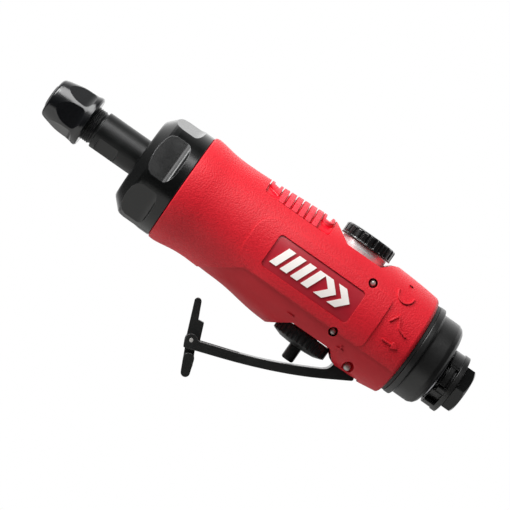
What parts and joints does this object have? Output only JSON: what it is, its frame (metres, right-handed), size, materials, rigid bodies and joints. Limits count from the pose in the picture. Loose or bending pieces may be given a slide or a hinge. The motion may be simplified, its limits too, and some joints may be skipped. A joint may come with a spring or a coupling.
{
  "type": "die grinder",
  "caption": "Straight air die grinder: collet spindle and vane motor in a red grip, a lever throttle with a folding safety latch, a speed dial, a selector knob and a swivel exhaust.",
  "frame": {"origin": "centre of the collet's mouth, on the spindle axis at the nose", "axes": "-X points out of the nose along the spindle, +X runs to the air inlet, +Z is the selector knob's side and -Z the lever's side"},
  "size_m": [0.1887, 0.0476, 0.0833],
  "materials": {
    "red_composite": "fine leather-grain moulded composite, satin",
    "red_gloss": "smooth moulded soft insert",
    "badge_red": "smooth satin panel",
    "badge_white": "raised printed white",
    "black_oxide_gloss": "polished black oxide",
    "satin_oxide": "dull black oxide, ground, lightly scratched",
    "black_oxide": "satin black oxide, turned",
    "hardened_steel": "hardened and ground",
    "ground_steel": "ground",
    "bearing_steel": "polished bearing steel",
    "brass_cage": "pressed brass",
    "brass": "turned brass",
    "spring_steel": "spring wire",
    "bare_aluminium": "turned aluminium",
    "black_painted": "satin black coat over steel",
    "black_plastic": "moulded, satin",
    "black_gloss_plastic": "moulded, glossy",
    "black_rubber": "smooth rubber",
    "vane_composite": "laminated phenolic",
    "felt": "pressed felt",
    "screen_mesh": "woven wire gauze"
  },
  "bodies": {
    "housing": {"clamp_nut": "black_oxide", "spindle_dust_seal": "felt", "front_bearing_outer": "bearing_steel", "rear_bearing_outer": "bearing_steel", "front_end_plate": "ground_steel", "front_lock_ring": "ground_steel", "cylinder_liner": "ground_steel", "liner_dowel": "ground_steel", "rear_end_plate": "ground_steel", "preload_washer": "ground_steel", "motor_housing": "bare_aluminium", "grip_shell": "red_composite", "thumb_pad": "red_gloss", "badge_plates": "badge_red", "badge_emblems": "badge_white", "retaining_pins": "ground_steel", "lever_pin": "ground_steel", "valve_seat": "black_rubber", "throttle_spring": "spring_steel", "rear_gasket": "black_rubber", "exhaust_cap": "black_plastic", "muffler_felt": "felt", "inlet_bushing": "black_oxide", "inlet_oring": "black_rubber", "inlet_screen": "screen_mesh", "inlet_snap_ring": "spring_steel"},
    "spindle_group": {"spindle": "satin_oxide", "collet": "hardened_steel", "rotor": "ground_steel", "rotor_vanes": "vane_composite", "front_bearing_inner": "bearing_steel", "rear_bearing_inner": "bearing_steel"},
    "nut": {"collet_nut": "black_oxide_gloss"},
    "front_ball_set": {"front_bearing_balls": "bearing_steel", "front_bearing_cage": "brass_cage"},
    "rear_ball_set": {"rear_bearing_balls": "bearing_steel", "rear_bearing_cage": "brass_cage"},
    "selector": {"selector_knob": "black_gloss_plastic", "selector_spool": "brass", "selector_oring": "black_rubber"},
    "regulator": {"regulator_dial": "black_plastic", "stem_bushing": "brass"},
    "throttle": {"throttle_stem": "black_plastic", "stem_oring": "black_rubber", "throttle_valve": "brass"},
    "lever": {"throttle_lever": "black_painted", "latch_pin": "ground_steel", "latch_spring": "spring_steel"},
    "latch": {"safety_latch": "black_painted"},
    "deflector": {"exhaust_deflector": "black_plastic"}
  },
  "joints": [
    {"name": "spindle_spin", "type": "hinge", "parent": "housing", "child": "spindle_group", "pos_m": [0, 0, 0], "axis": [1, 0, 0], "continuous": true},
    {"name": "front_balls_orbit", "type": "hinge", "parent": "housing", "child": "front_ball_set", "pos_m": [0.0509, 0, 0], "axis": [1, 0, 0], "continuous": true},
    {"name": "rear_balls_orbit", "type": "hinge", "parent": "housing", "child": "rear_ball_set", "pos_m": [0.1031, 0, 0], "axis": [1, 0, 0], "continuous": true},
    {"name": "collet_nut_turn", "type": "hinge", "parent": "spindle_group", "child": "nut", "pos_m": [0.01, 0, 0], "axis": [1, 0, 0], "range_deg": [-180, 180]},
    {"name": "lever_pivot", "type": "hinge", "parent": "housing", "child": "lever", "pos_m": [0.1472, 0, -0.0193], "axis": [0, 1, 0], "range_deg": [0, 12.5], "stiffness_Nm_per_rad": 0.25, "springref_deg": -11.46},
    {"name": "latch_pivot", "type": "hinge", "parent": "lever", "child": "latch", "pos_m": [0.0944, 0, -0.0444], "axis": [0, 1, 0], "range_deg": [0, 81.25]},
    {"name": "throttle_slide", "type": "slide", "parent": "housing", "child": "throttle", "axis": [0, 0, 1], "range_m": [0, 0.0045], "deforming": ["throttle_spring"]},
    {"name": "regulator_turn", "type": "hinge", "parent": "housing", "child": "regulator", "pos_m": [0.1278, 0, -0.0205], "axis": [0, 0, 1], "range_deg": [-60, 60]},
    {"name": "selector_turn", "type": "hinge", "parent": "housing", "child": "selector", "pos_m": [0.1278, 0, 0.0235], "axis": [0, 0, 1], "range_deg": [-45, 45]},
    {"name": "deflector_turn", "type": "hinge", "parent": "housing", "child": "deflector", "pos_m": [0.1808, 0, -0.0025], "axis": [1, 0, 0], "continuous": true}
  ],
  "couplings": [
    {"joint": "front_balls_orbit", "follows": "spindle_spin", "ratio": 0.3678},
    {"joint": "rear_balls_orbit", "follows": "spindle_spin", "ratio": 0.368},
    {"joint": "throttle_slide", "follows": "lever_pivot", "m_per_rad": 0.0197},
    {"joint": "latch_pivot", "follows": "lever_pivot", "ratio": 6.5}
  ]
}
